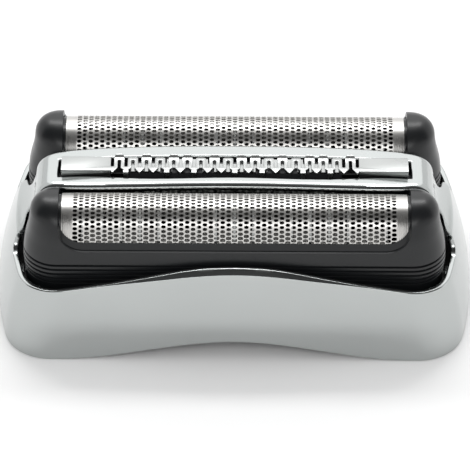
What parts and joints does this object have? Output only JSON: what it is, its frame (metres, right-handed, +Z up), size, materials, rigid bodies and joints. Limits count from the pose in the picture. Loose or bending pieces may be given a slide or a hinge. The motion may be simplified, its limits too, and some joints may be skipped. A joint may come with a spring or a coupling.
{
  "type": "shaver foil head",
  "caption": "Shaver head cassette: plated frame with a bridge, floating perforated foils in black carriers, a comb trimmer between them, and a drive socket below.",
  "frame": {"origin": "centre of the bottom of the bounding box, on the plane that the frame stands on", "axes": "+X along the foils, +Y to the back, +Z up out of the foils"},
  "size_m": [0.0608, 0.0308, 0.0207],
  "materials": {
    "plated_frame": "silver plating, satin bright",
    "black_plastic": "moulded, satin",
    "foil_steel": "electroformed foil, bright",
    "steel": "ground steel",
    "inner_plastic": "moulded, matt",
    "drive_plastic": "moulded, matt white"
  },
  "bodies": {
    "base": {"outer_frame": "plated_frame", "inner_chassis": "inner_plastic", "trimmer_spring_left": "steel", "trimmer_spring_right": "steel"},
    "front_head": {"front_foil_carrier": "black_plastic", "front_foil": "foil_steel"},
    "rear_head": {"rear_foil_carrier": "black_plastic", "rear_foil": "foil_steel"},
    "drive": {"drive_carrier": "drive_plastic", "front_cutter_spring_left": "steel", "front_cutter_spring_right": "steel", "rear_cutter_spring_left": "steel", "rear_cutter_spring_right": "steel"},
    "front_cutter": {"front_cutter_blades": "steel", "front_cutter_spine": "drive_plastic"},
    "rear_cutter": {"rear_cutter_blades": "steel", "rear_cutter_spine": "drive_plastic"},
    "trimmer": {"trimmer_guard_comb": "steel", "trimmer_holder": "inner_plastic"},
    "trimmer_cutter": {"trimmer_blade": "steel", "trimmer_slider": "drive_plastic"}
  },
  "joints": [
    {"name": "front_foil_float", "type": "slide", "parent": "base", "child": "front_head", "axis": [0, 0, 1], "range_m": [-0.0018, 0], "stiffness_N_per_m": 400, "springref_m": 0.001},
    {"name": "rear_foil_float", "type": "slide", "parent": "base", "child": "rear_head", "axis": [0, 0, 1], "range_m": [-0.0018, 0], "stiffness_N_per_m": 400, "springref_m": 0.001},
    {"name": "drive_slide", "type": "slide", "parent": "base", "child": "drive", "axis": [1, 0, 0], "range_m": [-0.0012, 0.0012]},
    {"name": "front_cutter_press", "type": "slide", "parent": "drive", "child": "front_cutter", "axis": [0, 0, 1], "range_m": [-0.0018, 0], "deforming": ["front_cutter_spring_left", "front_cutter_spring_right"]},
    {"name": "rear_cutter_press", "type": "slide", "parent": "drive", "child": "rear_cutter", "axis": [0, 0, 1], "range_m": [-0.0018, 0], "deforming": ["rear_cutter_spring_left", "rear_cutter_spring_right"]},
    {"name": "trimmer_float", "type": "slide", "parent": "base", "child": "trimmer", "axis": [0, 0, 1], "range_m": [-0.001, 0], "stiffness_N_per_m": 300, "springref_m": 0.001, "deforming": ["trimmer_spring_left", "trimmer_spring_right"]},
    {"name": "trimmer_blade_slide", "type": "slide", "parent": "trimmer", "child": "trimmer_cutter", "axis": [1, 0, 0], "range_m": [-0.0012, 0.0012]}
  ],
  "couplings": [
    {"joint": "front_cutter_press", "follows": "front_foil_float", "ratio": 1},
    {"joint": "rear_cutter_press", "follows": "rear_foil_float", "ratio": 1},
    {"joint": "trimmer_blade_slide", "follows": "drive_slide", "ratio": 1}
  ]
}
